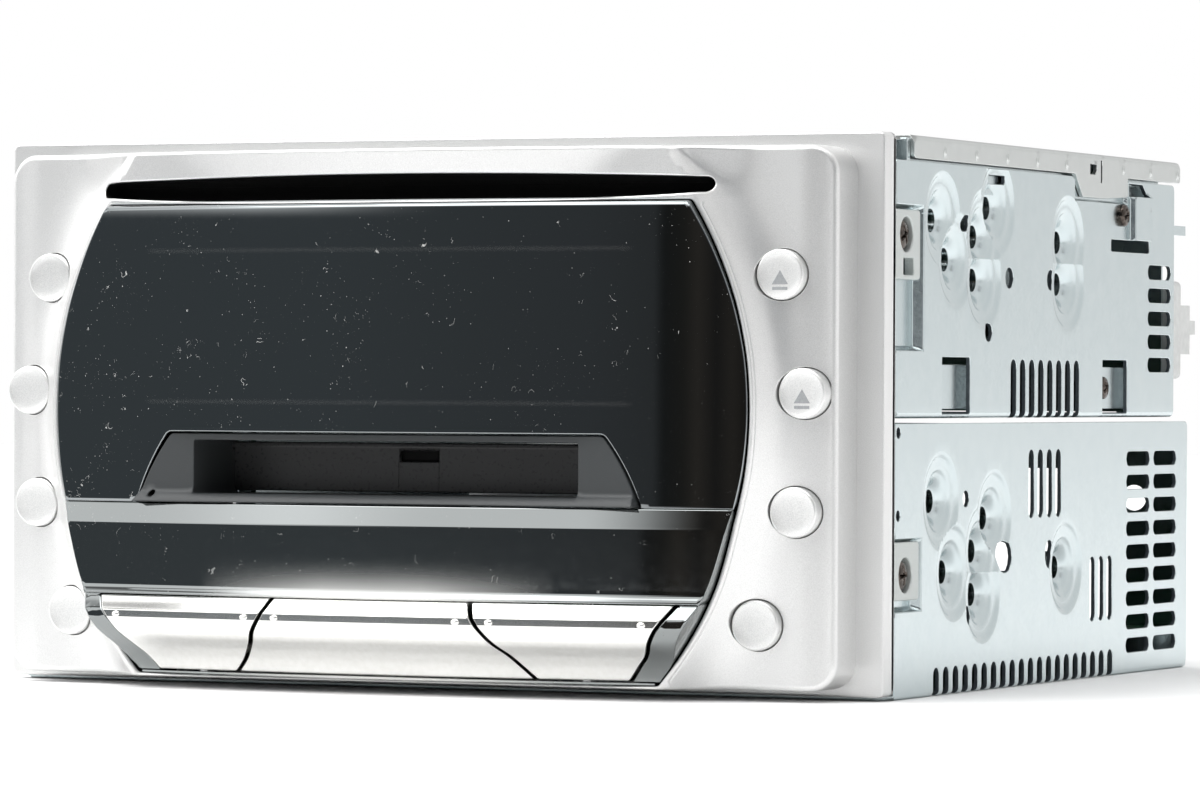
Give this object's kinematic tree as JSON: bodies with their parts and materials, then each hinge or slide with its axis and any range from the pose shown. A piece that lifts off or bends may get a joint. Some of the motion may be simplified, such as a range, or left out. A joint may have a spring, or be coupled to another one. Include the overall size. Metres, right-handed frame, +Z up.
{
  "type": "car disc player",
  "caption": "Double-height car disc player with a bowed black lens, a disc slot, a cartridge slot, chrome rocker keys, round buttons and a two-deck steel case.",
  "frame": {"origin": "centre of the bounding box in plan, at the underside of the case", "axes": "+Z up, +X to the right seen from the front, front faces -Y"},
  "size_m": [0.18, 0.2012, 0.1013],
  "materials": {
    "silver_paint": "satin silver paint",
    "black_gloss": "polished",
    "black_matte": "fine texture",
    "dark_grey": "fine texture",
    "chrome_plate": "polished",
    "galvanised": "galvanised sheet steel",
    "steel": "satin",
    "screw_bronze": "dark passivated",
    "circuit_board": "solder mask",
    "switch_black": "moulded",
    "display_glass": "polished",
    "felt": "felt",
    "film": "flexible film",
    "natural_nylon": "moulded",
    "aluminium": "extruded",
    "rubber": "matt",
    "white_gear": "moulded",
    "motor_can": "satin",
    "capacitor_sleeve": "sleeve",
    "brass": "machined"
  },
  "bodies": {
    "chassis": {"front_frame": "silver_paint", "front_bezel": "silver_paint", "display_lens": "black_gloss", "lower_lens": "black_gloss", "key_pins": "steel", "md_slot_surround": "dark_grey", "md_door_spring": "steel", "front_board": "circuit_board", "tact_switches": "switch_black", "display_module": "display_glass", "display_holder": "black_matte", "slot_felts": "felt", "ribbon_cable": "film", "lower_chassis": "galvanised", "upper_chassis": "galvanised", "top_cover": "galvanised", "rear_panel_upper": "galvanised", "rear_panel_lower": "galvanised", "heat_sink": "aluminium", "case_screws": "screw_bronze", "main_board": "circuit_board", "capacitors": "capacitor_sleeve", "power_amp": "switch_black", "harness_socket": "black_matte", "aerial_socket": "steel", "line_sockets": "black_matte", "rear_connector": "natural_nylon", "cd_base": "galvanised", "cd_dampers": "rubber", "cd_loading_motor": "motor_can", "cd_spindle_motor": "motor_can", "cd_guide_rods": "steel", "md_base": "galvanised", "md_spindle_motor": "motor_can", "md_guide_rods": "steel"},
    "source_button": {"source_button": "silver_paint"},
    "mode_button": {"mode_button": "silver_paint"},
    "color_button": {"color_button": "silver_paint"},
    "power_button": {"power_button": "silver_paint"},
    "cd_eject_button": {"cd_eject_button": "silver_paint"},
    "md_eject_button": {"md_eject_button": "silver_paint"},
    "sound_button": {"sound_button": "silver_paint"},
    "tone_button": {"tone_button": "silver_paint"},
    "key_left": {"key_left": "chrome_plate"},
    "key_center": {"key_center": "chrome_plate"},
    "key_right": {"key_right": "chrome_plate"},
    "md_door": {"md_door": "black_matte"},
    "cd_turntable": {"cd_turntable": "black_matte"},
    "cd_clamp_arm": {"cd_clamp_arm": "galvanised"},
    "cd_clamp_disc": {"cd_clamp_disc": "white_gear"},
    "cd_pickup": {"cd_pickup": "black_matte"},
    "cd_lead_screw": {"cd_lead_screw": "white_gear"},
    "cd_motor_gear": {"cd_motor_gear": "brass"},
    "md_holder": {"md_holder": "steel"},
    "md_spindle": {"md_spindle": "steel"},
    "md_pickup": {"md_pickup": "black_matte"},
    "md_lead_screw": {"md_lead_screw": "white_gear"},
    "cd_roller": {"cd_roller": "rubber", "cd_roller_shaft": "steel", "cd_roller_gear": "white_gear"}
  },
  "joints": [
    {"name": "source_button_press", "type": "slide", "parent": "chassis", "child": "source_button", "axis": [0, 1, 0], "range_m": [0, 0.0005], "stiffness_N_per_m": 600},
    {"name": "mode_button_press", "type": "slide", "parent": "chassis", "child": "mode_button", "axis": [0, 1, 0], "range_m": [0, 0.0005], "stiffness_N_per_m": 600},
    {"name": "color_button_press", "type": "slide", "parent": "chassis", "child": "color_button", "axis": [0, 1, 0], "range_m": [0, 0.0005], "stiffness_N_per_m": 600},
    {"name": "power_button_press", "type": "slide", "parent": "chassis", "child": "power_button", "axis": [0, 1, 0], "range_m": [0, 0.0005], "stiffness_N_per_m": 600},
    {"name": "cd_eject_button_press", "type": "slide", "parent": "chassis", "child": "cd_eject_button", "axis": [0, 1, 0], "range_m": [0, 0.0005], "stiffness_N_per_m": 600},
    {"name": "md_eject_button_press", "type": "slide", "parent": "chassis", "child": "md_eject_button", "axis": [0, 1, 0], "range_m": [0, 0.0005], "stiffness_N_per_m": 600},
    {"name": "sound_button_press", "type": "slide", "parent": "chassis", "child": "sound_button", "axis": [0, 1, 0], "range_m": [0, 0.0005], "stiffness_N_per_m": 600},
    {"name": "tone_button_press", "type": "slide", "parent": "chassis", "child": "tone_button", "axis": [0, 1, 0], "range_m": [0, 0.0005], "stiffness_N_per_m": 600},
    {"name": "key_left_rock", "type": "hinge", "parent": "chassis", "child": "key_left", "pos_m": [-0.0387, -0.08785, 0.01025], "axis": [0, 0, 1], "range_deg": [-1.6, 1.6], "stiffness_Nm_per_rad": 0.1},
    {"name": "key_center_rock", "type": "hinge", "parent": "chassis", "child": "key_center", "pos_m": [0, -0.08785, 0.01025], "axis": [0, 0, 1], "range_deg": [-1.6, 1.6], "stiffness_Nm_per_rad": 0.1},
    {"name": "key_right_rock", "type": "hinge", "parent": "chassis", "child": "key_right", "pos_m": [0.0387, -0.08785, 0.01025], "axis": [0, 0, 1], "range_deg": [-1.6, 1.6], "stiffness_Nm_per_rad": 0.1},
    {"name": "md_door_swing", "type": "hinge", "parent": "chassis", "child": "md_door", "pos_m": [0, -0.07705, 0.04465], "axis": [1, 0, 0], "range_deg": [0, 80], "stiffness_Nm_per_rad": 0.0006, "springref_deg": -17.19},
    {"name": "cd_roller_spin", "type": "hinge", "parent": "chassis", "child": "cd_roller", "pos_m": [0, -0.05585, 0.08915], "axis": [1, 0, 0], "continuous": true},
    {"name": "cd_motor_spin", "type": "hinge", "parent": "chassis", "child": "cd_motor_gear", "pos_m": [0.0729, -0.04942, 0.08149], "axis": [1, 0, 0], "continuous": true},
    {"name": "cd_disc_spin", "type": "hinge", "parent": "chassis", "child": "cd_turntable", "pos_m": [0, 0.00615, 0.08875], "axis": [0, 0, 1], "continuous": true},
    {"name": "cd_clamp_lift", "type": "hinge", "parent": "chassis", "child": "cd_clamp_arm", "pos_m": [0, 0.06615, 0.09575], "axis": [-1, 0, 0], "range_deg": [0, 2.2]},
    {"name": "cd_clamp_spin", "type": "hinge", "parent": "cd_clamp_arm", "child": "cd_clamp_disc", "pos_m": [0, 0.00615, 0.09535], "axis": [0, 0, 1], "continuous": true},
    {"name": "cd_pickup_travel", "type": "slide", "parent": "chassis", "child": "cd_pickup", "axis": [0, 1, 0], "range_m": [0, 0.026]},
    {"name": "cd_screw_turn", "type": "hinge", "parent": "chassis", "child": "cd_lead_screw", "pos_m": [0.03, 0.04315, 0.07875], "axis": [0, 1, 0], "range_deg": [0, 3130]},
    {"name": "md_holder_drop", "type": "slide", "parent": "chassis", "child": "md_holder", "axis": [0, 0, -1], "range_m": [0, 0.004]},
    {"name": "md_disc_spin", "type": "hinge", "parent": "chassis", "child": "md_spindle", "pos_m": [0, -0.02985, 0.02975], "axis": [0, 0, 1], "continuous": true},
    {"name": "md_pickup_travel", "type": "slide", "parent": "chassis", "child": "md_pickup", "axis": [0, 1, 0], "range_m": [0, 0.016]},
    {"name": "md_screw_turn", "type": "hinge", "parent": "chassis", "child": "md_lead_screw", "pos_m": [0.024, -0.00385, 0.02975], "axis": [0, 1, 0], "range_deg": [0, 2890]}
  ],
  "couplings": [
    {"joint": "cd_motor_spin", "follows": "cd_roller_spin", "ratio": -3},
    {"joint": "cd_screw_turn", "follows": "cd_pickup_travel", "rad_per_m": 2094.4},
    {"joint": "md_screw_turn", "follows": "md_pickup_travel", "rad_per_m": 3141.6}
  ]
}
